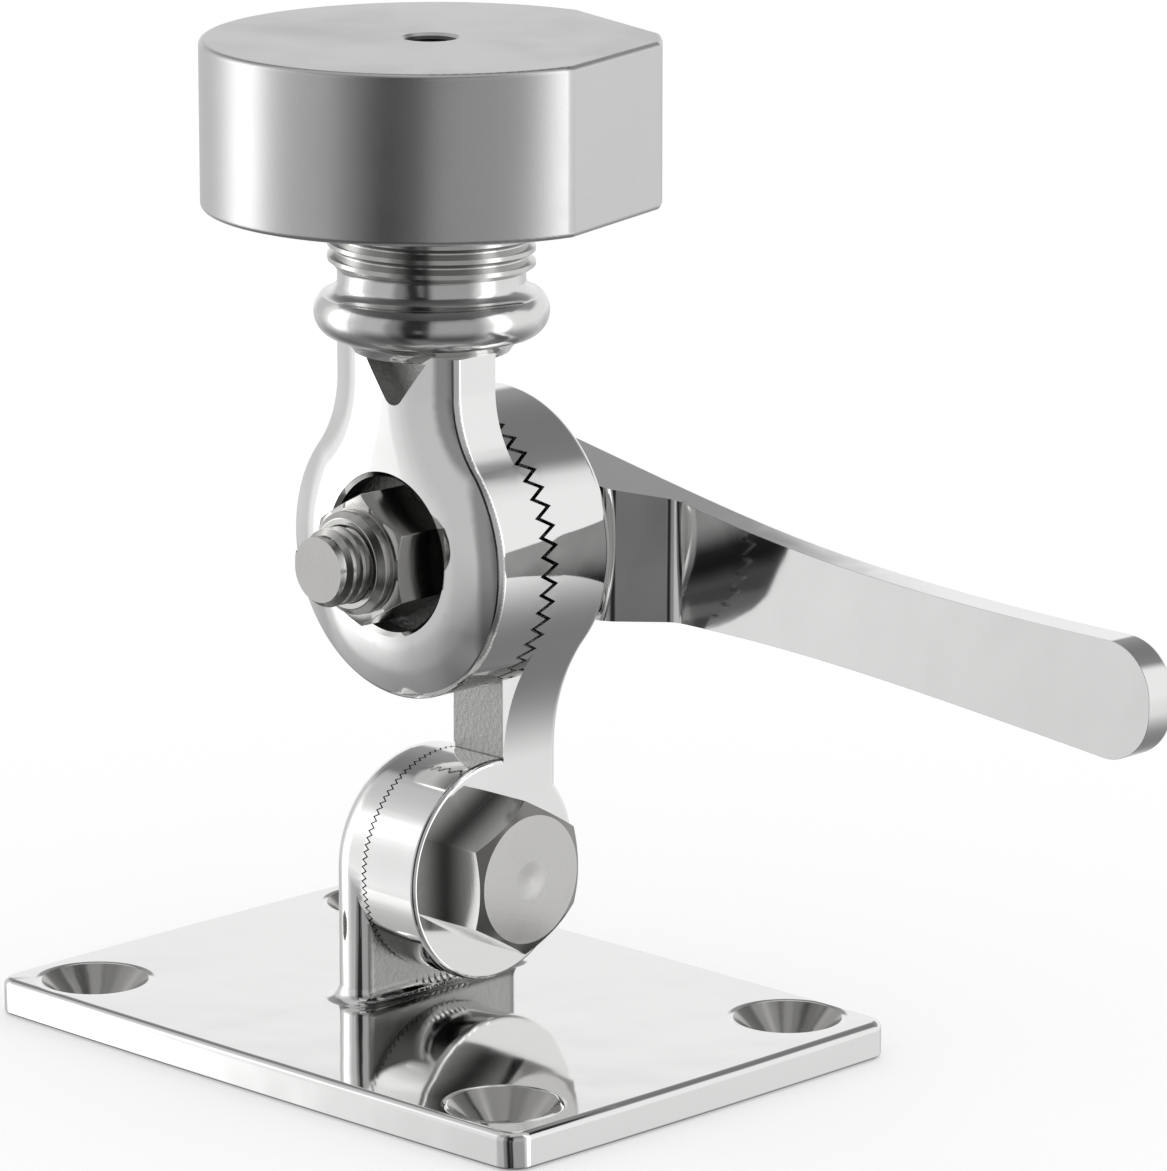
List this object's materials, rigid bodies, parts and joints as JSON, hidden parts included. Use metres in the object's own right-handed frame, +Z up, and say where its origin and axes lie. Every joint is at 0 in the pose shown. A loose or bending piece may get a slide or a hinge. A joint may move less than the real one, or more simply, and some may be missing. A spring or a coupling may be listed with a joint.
{
  "type": "boat antenna mount",
  "caption": "Ratchet antenna mount for a boat: bolt-down base, two toothed tilt joints clamped by a bolt and a long lever, and a round adapter screwed on the top thread.",
  "frame": {"origin": "Centre of the underside of the base plate.", "axes": "+Z up, +X along the plate's long side toward the lower bolt's head, +Y from the clamp nut toward the lever."},
  "size_m": [0.1409, 0.0658, 0.1239],
  "materials": {
    "cast_stainless": "cast stainless steel polished to a mirror",
    "bolt_steel": "plain stainless steel, turned and forged",
    "adapter_aluminium": "turned aluminium, fine satin",
    "insert_nylon": "natural nylon"
  },
  "bodies": {
    "base": {"base_casting": "cast_stainless", "lower_bolt": "bolt_steel"},
    "link": {"link_casting": "cast_stainless", "clamp_washer": "bolt_steel"},
    "lever": {"lever_handle": "cast_stainless", "clamp_bolt": "bolt_steel"},
    "nut": {"clamp_lock_nut": "bolt_steel", "lock_nut_insert": "insert_nylon"},
    "head": {"head_casting": "cast_stainless"},
    "adapter": {"antenna_adapter": "adapter_aluminium"}
  },
  "joints": [
    {"name": "link_tilt", "type": "hinge", "parent": "base", "child": "link", "pos_m": [-0.0037, 0.0049, 0.021], "axis": [1, 0, 0], "range_deg": [-60.1, 60.1]},
    {"name": "lever_turn", "type": "hinge", "parent": "link", "child": "lever", "pos_m": [-0.0037, 0.005, 0.0611], "axis": [0, 1, 0], "range_deg": [-10, 20]},
    {"name": "clamp_release", "type": "slide", "parent": "link", "child": "nut", "axis": [0, -1, 0], "range_m": [-0.00005, 0.00009]},
    {"name": "head_tilt", "type": "hinge", "parent": "nut", "child": "head", "pos_m": [-0.0037, 0.005, 0.0611], "axis": [0, 1, 0], "range_deg": [-90.1, 45.1]},
    {"name": "adapter_turn", "type": "hinge", "parent": "head", "child": "adapter", "pos_m": [-0.0037, 0.0031, 0.11], "axis": [0, 0, 1], "range_deg": [-180, 180]}
  ],
  "couplings": [
    {"joint": "clamp_release", "follows": "lever_turn", "m_per_rad": 0.00025266}
  ]
}
